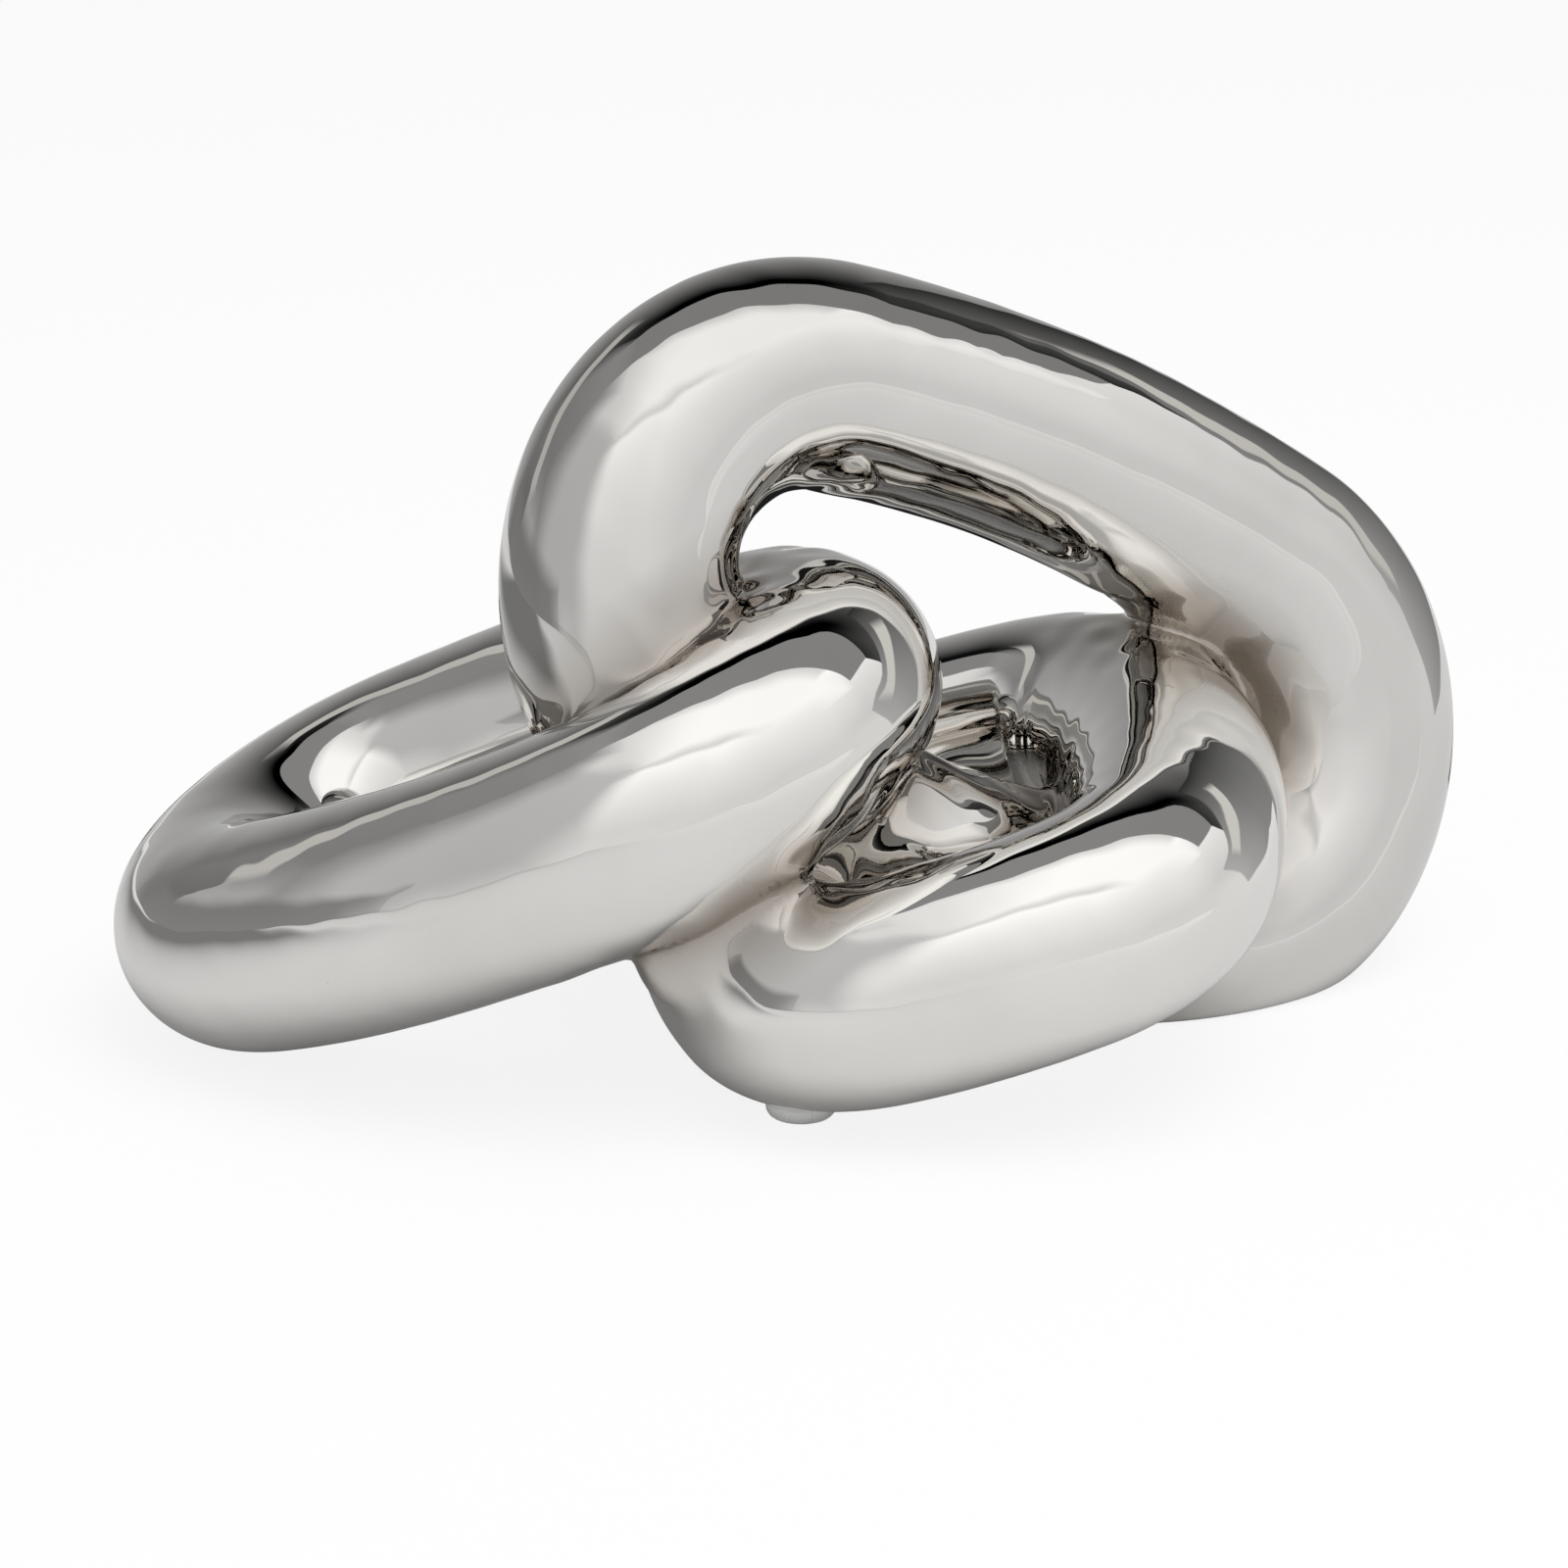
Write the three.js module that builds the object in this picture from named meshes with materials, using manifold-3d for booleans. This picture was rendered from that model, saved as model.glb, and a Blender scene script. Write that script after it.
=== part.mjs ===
// A ceramic chain sculpture: three fat oval links that pass through each other and are
// stuck fast where they touch, with a fillet of clay in every crease.
// Millimetres, +Z up. X runs along the sculpture, and -Y is its front. The origin is on the
// table, under the middle of the sculpture's box.

import * as THREE from "three";
import { ParametricGeometry } from "three/addons/geometries/ParametricGeometry.js";
import { mergeVertices } from "three/addons/utils/BufferGeometryUtils.js";
import Module from "manifold-3d";

// Left link: a closed oval ring, its left end on the table and its right end raised
const LEFT_TUBE_RADIUS = 25;
const LEFT_END_SPACING = 61.5; // between the centres of its two round ends
const LEFT_END_RADIUS = 44.2; // of the tube's middle line round an end
const LEFT_SIDE_BOW = 4.9; // how far the long sides swell past the ends
const LEFT_CENTRE_X = -59.9;
const LEFT_CENTRE_Y = -9.7;
const LEFT_YAW = -25.5;
const LEFT_PITCH = 22.5;
const LEFT_ROLL = 10.5;

// Standing link: the longest ring, leaning over the other two on a flat foot
const STANDING_TUBE_RADIUS = 25;
const STANDING_END_SPACING = 100.5;
const STANDING_END_RADIUS = 45.6;
const STANDING_SIDE_BOW = 4.3;
const STANDING_CENTRE_X = 43.5;
const STANDING_CENTRE_Y = 17.7;
const STANDING_FOOT_CUT = 12.5; // depth sliced off its low end to make the foot
const STANDING_YAW = 22.2;
const STANDING_PITCH = -25.8;
const STANDING_ROLL = 74.8;

// Front link: a closed ring with squarish ends that points to the front, its left side low
const FRONT_TUBE_RADIUS = 24;
const FRONT_END_SPACING = 75.8; // between the corner centres of one end and of the other
const FRONT_CORNER_SPACING = 26.5; // between the two corner centres of an end
const FRONT_END_RADIUS = 31; // of the tube's middle line round each corner of an end
const FRONT_END_BOW = 1.6; // how far an end swells past its corners
const FRONT_SIDE_BOW = 4.9;
const FRONT_CENTRE_X = 35;
const FRONT_CENTRE_Y = 0;
const FRONT_YAW = 91.8;
const FRONT_PITCH = 2.3;
const FRONT_ROLL = -17.2;

// Closing piece: the length of the standing link's lower run that shuts the ring
const CLOSING_LENGTH = 46;
const CLOSING_OFFSET = -22; // of its middle, along the run towards the low end

// Joints between the clay pieces
const FILLET_REACH = 12; // two skins start to flow together this far apart
const SEAT_GAP = 0.3; // slip joint between neighbours
const SEAM_OVERLAP = 5; // of two neighbours' skins before they are cut back to their seam

// Bead of clay on the front link, pressed into the crease under the left link. It runs round
// the front end's low corner, and its tilt is measured round the tube, up from the ring's plane.
const BEAD_RADIUS = 8;
const BEAD_LOW_ANGLE = 65; // its outer end, round the corner from the tip towards the side
const BEAD_LOW_TILT = 37;
const BEAD_LOW_RISE = 2; // of its middle line over the front link's skin
const BEAD_HIGH_ANGLE = 42; // its inner end, sunk into the front link
const BEAD_HIGH_TILT = 72;
const BEAD_HIGH_RISE = -3.5;

// Clear bumper under the front link
const BUMPER_RADIUS = 7.5;
const BUMPER_EDGE = 2.4; // rounding of its lower rim
const BUMPER_LIFT = 1.4; // least distance from the front link down to the table
const BUMPER_ANGLE = 52; // round the front end's low corner, from the tip towards the side

// Facets
const AROUND = 22; // round a tube
const STEP_ALONG = 5.4; // along a tube
const BUMPER_SIDES = 24;
const BUMPER_EDGE_STEPS = 3;

const wasm = await Module();
wasm.setup();

// How far the centre of a bowed arc lies behind the line through two corner centres, when the
// arc runs smoothly from one corner to the other.
function centreDrop(spacing, bow) {
  const half = spacing / 2;
  return bow > 0 ? (half * half - bow * bow) / (2 * bow) : 0;
}

// A link's middle line is an oval of eight arcs: a bowed arc along each side and across each
// end, and a corner between them. At a round end the two corners meet and make one arc.
function makeLink(size) {
  const reach = size.endSpacing / 2;
  const spread = size.cornerSpacing / 2;
  const sideDrop = centreDrop(size.endSpacing, size.sideBow);
  const sideRadius = size.endRadius + size.sideBow + sideDrop;
  const tipDrop = centreDrop(size.cornerSpacing, size.endBow);
  const tipRadius = size.endRadius + size.endBow + tipDrop;
  const flat = Math.atan2(spread, tipDrop); // angle where a corner takes over from the tip
  const steep = Math.atan2(sideDrop, reach); // angle where a side takes over from a corner
  const turned = steep - flat;
  const sideSweep = Math.PI - 2 * steep;
  const halfOval = [
    { x: reach - tipDrop, y: 0, radius: tipRadius, start: -flat, sweep: 2 * flat },
    { x: reach, y: spread, radius: size.endRadius, start: flat, sweep: turned },
    { x: 0, y: spread - sideDrop, radius: sideRadius, start: steep, sweep: sideSweep },
    { x: -reach, y: spread, radius: size.endRadius, start: Math.PI - steep, sweep: turned },
  ];
  const otherHalf = halfOval.map((arc) => {
    return { ...arc, x: -arc.x, y: -arc.y, start: arc.start + Math.PI };
  });
  const arcs = [...halfOval, ...otherHalf];
  const length = arcs.reduce((sum, arc) => sum + arc.radius * arc.sweep, 0);
  const turn = new THREE.Euler(
    THREE.MathUtils.degToRad(size.roll),
    THREE.MathUtils.degToRad(-size.pitch),
    THREE.MathUtils.degToRad(size.yaw),
    "ZYX",
  );
  const place = new THREE.Matrix4().makeRotationFromEuler(turn);
  const oval = { reach, spread, sideDrop, sideRadius, tipDrop, tipRadius, arcs, length };
  const link = { ...size, ...oval, place };
  place.setPosition(size.x, size.y, size.lowest - lowestPoint(link));
  link.unplace = place.clone().invert();
  return link;
}

// The middle line at a distance along it: the point, and the way out of the oval there.
function middleLine(link, distance) {
  let left = THREE.MathUtils.euclideanModulo(distance, link.length);
  let arc = link.arcs[0];
  for (arc of link.arcs) {
    if (left <= arc.radius * arc.sweep) break;
    left -= arc.radius * arc.sweep;
  }
  const angle = arc.start + left / arc.radius;
  const out = new THREE.Vector3(Math.cos(angle), Math.sin(angle), 0);
  const point = out.clone().multiplyScalar(arc.radius);
  point.x += arc.x;
  point.y += arc.y;
  return { point, out };
}

// The height of a link's lowest point over its own centre.
function lowestPoint(link) {
  const samples = 720;
  let lowest = Infinity;
  for (let i = 0; i < samples; i++) {
    const { point } = middleLine(link, (i * link.length) / samples);
    lowest = Math.min(lowest, point.applyMatrix4(link.place).z);
  }
  return lowest - link.tubeRadius;
}

// Distance from a point to a link's round tube and its bead, negative inside them.
function distanceTo(link, point) {
  const p = point.clone().applyMatrix4(link.unplace);
  const x = Math.abs(p.x);
  const y = Math.abs(p.y);
  const past = x - link.reach; // past a corner's centre, along the link and across it
  const over = y - link.spread;
  let across = Math.hypot(past, over) - link.endRadius;
  if (past * link.sideDrop <= link.reach * over) {
    across = Math.hypot(x, over + link.sideDrop) - link.sideRadius;
  } else if (y * link.tipDrop < (past + link.tipDrop) * link.spread) {
    across = Math.hypot(past + link.tipDrop, y) - link.tipRadius;
  }
  const tube = Math.hypot(across, p.z) - link.tubeRadius;
  if (!link.bead) return tube;
  const nearest = link.bead.closestPointToPoint(p, true, new THREE.Vector3());
  const bead = nearest.distanceTo(p) - BEAD_RADIUS;
  return Math.min(tube, bead) - swelling(-Math.abs(tube - bead));
}

// How far a skin swells into the fillet beside a neighbour. The lead is the distance to the
// link less the distance to the neighbour, so it is zero at their seam, half way between them.
// The swelling starts gently, has a slope of one half at the seam, as the neighbour's has, and
// keeps that slope beyond it.
function swelling(lead) {
  if (lead > 0) return FILLET_REACH / 6 + lead / 2;
  const nearness = Math.max(FILLET_REACH + lead, 0) / FILLET_REACH;
  return (nearness ** 3 * FILLET_REACH) / 6;
}

const left = makeLink({
  tubeRadius: LEFT_TUBE_RADIUS,
  endSpacing: LEFT_END_SPACING,
  cornerSpacing: 0,
  endRadius: LEFT_END_RADIUS,
  endBow: 0,
  sideBow: LEFT_SIDE_BOW,
  x: LEFT_CENTRE_X,
  y: LEFT_CENTRE_Y,
  lowest: 0,
  yaw: LEFT_YAW,
  pitch: LEFT_PITCH,
  roll: LEFT_ROLL,
});

const standing = makeLink({
  tubeRadius: STANDING_TUBE_RADIUS,
  endSpacing: STANDING_END_SPACING,
  cornerSpacing: 0,
  endRadius: STANDING_END_RADIUS,
  endBow: 0,
  sideBow: STANDING_SIDE_BOW,
  x: STANDING_CENTRE_X,
  y: STANDING_CENTRE_Y,
  lowest: -STANDING_FOOT_CUT,
  yaw: STANDING_YAW,
  pitch: STANDING_PITCH,
  roll: STANDING_ROLL,
});

const front = makeLink({
  tubeRadius: FRONT_TUBE_RADIUS,
  endSpacing: FRONT_END_SPACING,
  cornerSpacing: FRONT_CORNER_SPACING,
  endRadius: FRONT_END_RADIUS,
  endBow: FRONT_END_BOW,
  sideBow: FRONT_SIDE_BOW,
  x: FRONT_CENTRE_X,
  y: FRONT_CENTRE_Y,
  lowest: BUMPER_LIFT,
  yaw: FRONT_YAW,
  pitch: FRONT_PITCH,
  roll: FRONT_ROLL,
});

// A point over the front link's skin, at its front end's low corner, in the link's own frame.
function overLowCorner(angle, tilt, rise) {
  const turn = THREE.MathUtils.degToRad(angle);
  const lean = THREE.MathUtils.degToRad(tilt);
  const out = FRONT_TUBE_RADIUS + rise;
  const radius = FRONT_END_RADIUS + out * Math.cos(lean);
  return new THREE.Vector3(
    -front.reach - radius * Math.cos(turn),
    front.spread + radius * Math.sin(turn),
    out * Math.sin(lean),
  );
}

front.bead = new THREE.Line3(
  overLowCorner(BEAD_LOW_ANGLE, BEAD_LOW_TILT, BEAD_LOW_RISE),
  overLowCorner(BEAD_HIGH_ANGLE, BEAD_HIGH_TILT, BEAD_HIGH_RISE),
);

const links = [left, standing, front];

// How far a link's own skin lies from its middle line, along one ray square to that line.
// The ray goes out while the test holds, and the last step is halved down to the skin.
function rayLength(origin, direction, holds) {
  const stride = 1.5;
  const halvings = 24;
  const at = (length) => origin.clone().addScaledVector(direction, length);
  let inside = 0;
  while (holds(at(inside + stride))) inside += stride;
  let outside = inside + stride;
  for (let i = 0; i < halvings; i++) {
    const middle = (inside + outside) / 2;
    if (holds(at(middle))) inside = middle;
    else outside = middle;
  }
  return at(inside);
}

// A closed ring round a link's middle line, as far out as the test holds.
function ring(link, holds) {
  const along = Math.round(link.length / STEP_ALONG);
  const surface = (u, v, target) => {
    const { point, out } = middleLine(link, (v % 1) * link.length);
    const angle = -(u % 1) * 2 * Math.PI;
    const direction = out.multiplyScalar(Math.cos(angle));
    direction.z = Math.sin(angle);
    direction.transformDirection(link.place);
    target.copy(rayLength(point.applyMatrix4(link.place), direction, holds));
  };
  return solid(new ParametricGeometry(surface, AROUND, along));
}

// A geometry as a solid that can be cut.
function solid(geometry) {
  const bare = geometry.index ? geometry.toNonIndexed() : geometry.clone();
  bare.deleteAttribute("normal");
  bare.deleteAttribute("uv");
  const merged = mergeVertices(bare, 1e-4);
  return new wasm.Manifold(
    new wasm.Mesh({
      numProp: 3,
      vertProperties: merged.attributes.position.array,
      triVerts: new Uint32Array(merged.index.array),
    }),
  );
}

// A link's skin with its fillets. It runs on a little past the seams, to be cut back to them.
function filletedRing(link) {
  const others = links.filter((other) => other !== link);
  return ring(link, (point) => {
    const own = distanceTo(link, point);
    const leads = others.map((other) => own - distanceTo(other, point));
    if (Math.max(...leads) > SEAM_OVERLAP) return false;
    return own <= leads.reduce((sum, lead) => sum + swelling(lead), 0);
  });
}

// The space nearer to a link than to its rivals, made wider or narrower by a margin.
function territory(link, rivals, margin) {
  return ring(link, (point) => {
    const own = distanceTo(link, point);
    if (own > FILLET_REACH) return false;
    return rivals.every((rival) => own - distanceTo(rival, point) <= margin);
  });
}

// Everything under the table's surface.
function underTable() {
  const size = 1000;
  return solid(new THREE.BoxGeometry(size, size, size).translate(0, 0, -size / 2));
}

// A slab square to the standing link's lower run, over the closing piece's length.
function closingSlab(length) {
  const across = 2 * (STANDING_TUBE_RADIUS + FILLET_REACH);
  const slab = new THREE.BoxGeometry(length, across, across);
  slab.translate(CLOSING_OFFSET, -STANDING_END_RADIUS - STANDING_SIDE_BOW, 0);
  return solid(slab.applyMatrix4(standing.place));
}

// The bumper: a round-edged disc that stands up into the front link's underside and is cut
// back from it, so that its top takes the link's shape.
function bumper() {
  const angle = THREE.MathUtils.degToRad(BUMPER_ANGLE);
  const seat = new THREE.Vector3(
    -front.reach - FRONT_END_RADIUS * Math.cos(angle),
    front.spread + FRONT_END_RADIUS * Math.sin(angle),
    0,
  ).applyMatrix4(front.place);
  const profile = new THREE.Path();
  profile.moveTo(0, 0);
  profile.lineTo(BUMPER_RADIUS - BUMPER_EDGE, 0);
  profile.absarc(BUMPER_RADIUS - BUMPER_EDGE, BUMPER_EDGE, BUMPER_EDGE, -Math.PI / 2, 0);
  profile.lineTo(BUMPER_RADIUS, seat.z);
  profile.lineTo(0, seat.z);
  const disc = new THREE.LatheGeometry(profile.getPoints(BUMPER_EDGE_STEPS), BUMPER_SIDES);
  disc.rotateX(Math.PI / 2).translate(seat.x, seat.y, 0);
  const clear = ring(front, (point) => distanceTo(front, point) <= SEAT_GAP);
  return solid(disc).subtract(clear);
}

// A solid as a named mesh.
function meshOf(name, body, material) {
  const { numProp, vertProperties, triVerts } = body.getMesh();
  const geometry = new THREE.BufferGeometry();
  const positions = new THREE.BufferAttribute(new Float32Array(vertProperties), numProp);
  geometry.setAttribute("position", positions);
  geometry.setIndex(Array.from(triVerts));
  geometry.computeVertexNormals();
  const mesh = new THREE.Mesh(geometry, material);
  mesh.name = name;
  return mesh;
}

const silverGlaze = () =>
  new THREE.MeshStandardMaterial({ color: 0xd8d8d6, roughness: 0.05, metalness: 1 });
const clearRubber = () =>
  new THREE.MeshStandardMaterial({ color: 0xf0f0ec, roughness: 0.25, metalness: 0 });

// Each pair of links meets half way between their tubes. One of the two keeps its side of
// that surface, and the other is cut back from it by the slip joint.
const standingRing = filletedRing(standing)
  .intersect(territory(standing, [left, front], -SEAT_GAP))
  .subtract(underTable());
const besideStanding = territory(standing, [left, front], SEAT_GAP);
const leftRing = filletedRing(left)
  .intersect(territory(left, [front], -SEAT_GAP))
  .subtract(besideStanding);
const frontRing = filletedRing(front)
  .subtract(territory(left, [front], SEAT_GAP))
  .subtract(besideStanding);

const sculpture = new THREE.Group();
sculpture.add(
  meshOf("left_link", leftRing, silverGlaze()),
  meshOf(
    "standing_link",
    standingRing.subtract(closingSlab(CLOSING_LENGTH + 2 * SEAT_GAP)),
    silverGlaze(),
  ),
  meshOf(
    "standing_link_closing_piece",
    standingRing.intersect(closingSlab(CLOSING_LENGTH)),
    silverGlaze(),
  ),
  meshOf("front_link", frontRing, silverGlaze()),
  meshOf("front_bumper", bumper(), clearRubber()),
);

export default sculpture;
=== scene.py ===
# A mirror-silver ceramic chain sculpture: three fat oval links that pass through each other and
# are fused where they touch, on a cut foot and a clear bumper. Metres, +Z up, -Y to the front.

import math
from collections import namedtuple

import bmesh
import bpy
import numpy as np
from bpy.props import FloatProperty, FloatVectorProperty, IntProperty, PointerProperty
from bpy.types import Operator, Panel, PropertyGroup
from mathutils import Euler, Matrix, Vector


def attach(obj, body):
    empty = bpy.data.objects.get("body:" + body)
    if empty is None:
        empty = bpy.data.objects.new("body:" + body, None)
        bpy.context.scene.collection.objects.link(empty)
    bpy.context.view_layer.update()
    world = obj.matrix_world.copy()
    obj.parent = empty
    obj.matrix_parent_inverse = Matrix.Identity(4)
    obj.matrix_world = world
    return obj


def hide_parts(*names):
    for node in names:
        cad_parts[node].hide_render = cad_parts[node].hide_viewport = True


bl_info = {
    "name": "Silver Chain Sculpture",
    "version": (1, 0, 0),
    "blender": (4, 5, 0),
    "location": "View3D > Sidebar > Chain",
    "description": "Models a fused ceramic chain in mirror silver, with its studio",
    "category": "Add Mesh",
}

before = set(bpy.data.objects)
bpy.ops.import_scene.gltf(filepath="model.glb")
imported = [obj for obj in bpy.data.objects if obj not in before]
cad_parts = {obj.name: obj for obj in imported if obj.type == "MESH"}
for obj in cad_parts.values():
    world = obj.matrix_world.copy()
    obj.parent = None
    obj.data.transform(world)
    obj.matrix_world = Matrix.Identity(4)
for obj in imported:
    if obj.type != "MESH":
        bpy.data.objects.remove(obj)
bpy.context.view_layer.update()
BODY = "root"
SILVER_SLOT = "silver_glaze"
BUMPER_SLOT = "clear_bumper"
WAY_OUT = "way_out"  # vertex layer with the normals of the fused skin
CREASE = "crease"  # vertex layer with the nearness of the next link


# Properties

def length(name, description, default):
    """A size in metres."""
    return FloatProperty(name=name, description=description, default=default, min=0.0,
                         precision=4, unit="LENGTH")


def place(name, description, default):
    """A coordinate in metres, which may be negative."""
    return FloatProperty(name=name, description=description, default=default, precision=4,
                         unit="LENGTH")


def angle(name, description, degrees):
    """A turn, given here in degrees."""
    return FloatProperty(name=name, description=description, default=math.radians(degrees),
                         unit="ROTATION")


def share(name, description, default):
    """A share between nothing and all."""
    return FloatProperty(name=name, description=description, default=default, min=0.0, max=1.0,
                         subtype="FACTOR")


def colour(name, description, default):
    """A linear colour."""
    return FloatVectorProperty(name=name, description=description, default=default, size=3,
                               min=0.0, max=1.0, subtype="COLOR")


def density(name, description, default):
    """A count to the metre."""
    return FloatProperty(name=name, description=description, default=default, min=0.0)


class LeftLinkSizes(PropertyGroup):
    """Sizes of the link that lies to the left, its left end on the table."""
    tube_radius: length("Tube Radius", "Radius of the round section", 0.025)
    end_spacing: length("End Spacing", "Between the corner centres of the two ends", 0.0615)
    corner_spacing: length("Corner Spacing", "Between an end's corner centres, 0 if round", 0.0)
    end_radius: length("End Radius", "Radius of the middle line round a corner", 0.0442)
    end_bow: length("End Bow", "How far an end swells past its corners", 0.0)
    side_bow: length("Side Bow", "How far the long sides swell past the corners", 0.0049)
    centre_x: place("Centre X", "Place along the sculpture", -0.0599)
    centre_y: place("Centre Y", "Place from front to back", -0.0097)
    lowest: place("Lowest Point", "Height of the plain tube's lowest point", 0.0)
    yaw: angle("Yaw", "Turn about the upright axis", -25.5)
    pitch: angle("Pitch", "Rise of the long axis", 22.5)
    roll: angle("Roll", "Turn about the long axis", 10.5)
    # Painted light: a brightness that scales this link's silver, a lit or shaded copy of one
    # material.
    painted_light_level: share("Plating", "Brightness of its plating", 0.97)


class StandingLinkSizes(PropertyGroup):
    """Sizes of the long link that leans over the other two, and of its closing piece."""
    tube_radius: length("Tube Radius", "Radius of the round section", 0.025)
    end_spacing: length("End Spacing", "Between the corner centres of the two ends", 0.1005)
    corner_spacing: length("Corner Spacing", "Between an end's corner centres, 0 if round", 0.0)
    end_radius: length("End Radius", "Radius of the middle line round a corner", 0.0456)
    end_bow: length("End Bow", "How far an end swells past its corners", 0.0)
    side_bow: length("Side Bow", "How far the long sides swell past the corners", 0.0043)
    centre_x: place("Centre X", "Place along the sculpture", 0.0435)
    centre_y: place("Centre Y", "Place from front to back", 0.0177)
    lowest: place("Lowest Point", "Height of the tube's lowest point, before the cut", -0.0125)
    yaw: angle("Yaw", "Turn about the upright axis", 22.2)
    pitch: angle("Pitch", "Rise of the long axis", -25.8)
    roll: angle("Roll", "Turn about the long axis", 74.8)
    # Painted shade: this link's silver is a darker copy of the same material, for its dimmer
    # reflections.
    painted_light_level: share("Plating", "Brightness of its plating", 0.86)
    closing_length: length("Closing Length", "Length of the piece that shuts the ring", 0.046)
    closing_offset: place("Closing Offset", "Place of that piece along the lower run", -0.022)
    foot_edge: length("Foot Edge", "Rounding of the foot's rim", 0.0012)


class FrontLinkSizes(PropertyGroup):
    """Sizes of the squarish link that points to the front."""
    tube_radius: length("Tube Radius", "Radius of the round section", 0.024)
    end_spacing: length("End Spacing", "Between the corner centres of the two ends", 0.0758)
    corner_spacing: length("Corner Spacing", "Between an end's corner centres", 0.0265)
    end_radius: length("End Radius", "Radius of the middle line round a corner", 0.031)
    end_bow: length("End Bow", "How far an end swells past its corners", 0.0016)
    side_bow: length("Side Bow", "How far the long sides swell past the corners", 0.0049)
    centre_x: place("Centre X", "Place along the sculpture", 0.035)
    centre_y: place("Centre Y", "Place from front to back", 0.0)
    lowest: place("Lowest Point", "Height of the tube over the table", 0.0014)
    yaw: angle("Yaw", "Turn about the upright axis", 91.8)
    pitch: angle("Pitch", "Rise of the long axis", 2.3)
    roll: angle("Roll", "Turn about the long axis", -17.2)
    # Painted light: a brightness that scales this link's silver, a lit or shaded copy of one
    # material.
    painted_light_level: share("Plating", "Brightness of its plating", 1.0)
    bead_radius: length("Bead Radius", "Radius of the bead of clay under the left link", 0.008)
    bead_low_angle: angle("Bead Low Angle", "Its outer end, round the corner from the tip", 65.0)
    bead_low_tilt: angle("Bead Low Tilt", "Its outer end, round the tube", 37.0)
    bead_low_rise: place("Bead Low Rise", "Its outer end's height over the skin", 0.002)
    bead_high_angle: angle("Bead High Angle", "Its inner end, round the corner", 42.0)
    bead_high_tilt: angle("Bead High Tilt", "Its inner end, round the tube", 72.0)
    bead_high_rise: place("Bead High Rise", "Its inner end's height over the skin", -0.0035)


class GlazeSettings(PropertyGroup):
    """The fillets, the hand finish and the silver of every link."""
    fillet_reach: length("Fillet Reach", "Two skins flow together from this far apart", 0.012)
    overrun: length("Overrun", "A skin runs on this far under its neighbour's", 0.003)
    around: IntProperty(name="Around", description="Coarse faces round a tube", default=44, min=12)
    step: length("Step", "Length of a coarse face along a tube", 0.0042)
    cuts: IntProperty(name="Cuts", description="Cuts across each coarse face", default=3, min=0)
    swell: length("Swell", "Height of the broad unevenness of the cast wall", 0.0002)
    swell_size: length("Swell Size", "Length of its waves", 0.075)
    ripple: length("Ripple", "Height of the tool marks beside the creases", 0.0002)
    ripple_size: length("Ripple Size", "Length of their waves", 0.012)
    tooled: length("Tooled", "The tool marks fade out this far from the next link", 0.025)
    table_fade: length("Table Fade", "The hand finish fades out below this height", 0.025)
    bright: colour("Bright Silver", "Colour of the cleanest plating", (0.91, 0.895, 0.87))
    dull: colour("Dull Silver", "Colour of the hazier patches", (0.83, 0.815, 0.79))
    # Tarnish and painted shade: near the next link the silver darkens to this colour, partly the
    # plating's real tarnish, partly painted shade in the creases and holes.
    tarnish_and_shade: colour("Tarnish", "Colour of the plating in the creases", (0.42, 0.375, 0.33))
    tarnish_and_shade_reach: length("Tarnish Reach", "It fades out this far from the next link", 0.02)
    polish: share("Polish Roughness", "Roughness of the cleanest plating", 0.015)
    haze: share("Haze Roughness", "Roughness added in the hazier patches", 0.05)
    haze_density: density("Haze Density", "Hazier patches to the metre", 22.0)
    haze_start: share("Haze Start", "Level of the patches' pattern at which the haze starts", 0.45)
    haze_gain: FloatProperty(name="Haze Gain", description="How fast the haze thickens from there",
                             default=2.2, min=0.0)
    pinhole: colour("Pinhole", "Colour of the pinholes in the plating", (0.54, 0.53, 0.50))
    pinhole_roughness: share("Pinhole Roughness", "Roughness added in the pinholes", 0.3)
    pinhole_density: density("Pinhole Density", "Cells to the metre that may hold one", 130.0)
    pinhole_size: share("Pinhole Size", "Radius of a pinhole, as a share of its cell", 0.032)
    chance_density: density("Chance Density", "Spots with pinholes to the metre", 95.0)
    chance_start: share("Chance Start", "Level of the spots' pattern at which they start", 0.64)
    bump_height: length("Bump Height", "Height of the full bump", 1e-5)
    peel_density: density("Peel Density", "Bumps of the orange peel to the metre", 170.0)
    peel: share("Peel", "Share of the orange peel in the bump", 0.8)
    grain_density: density("Grain Density", "Grains of the plating to the metre", 900.0)
    grain: share("Grain", "Share of the grain in the bump", 0.05)


class BumperSizes(PropertyGroup):
    """The clear stick-on bumper under the front link."""
    radius: length("Radius", "Radius of the bumper", 0.0075)
    edge: length("Edge", "Rounding of the lower rim", 0.0024)
    turn: angle("Turn", "Place round the front end's low corner, from the tip", 52.0)
    tint: colour("Tint", "Colour of the milky plastic", (0.95, 0.95, 0.94))
    clearness: share("Clearness", "How much light the plastic lets through", 0.15)
    polish: share("Polish Roughness", "Roughness of the clearest spots", 0.15)
    cloud: share("Cloud", "Roughness added in the cloudy spots", 0.3)
    cloud_density: density("Cloud Density", "Cloudy spots to the metre", 400.0)
    bending: FloatProperty(name="Bending", description="Refractive index of the plastic",
                           default=1.49, min=1.0)


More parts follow.
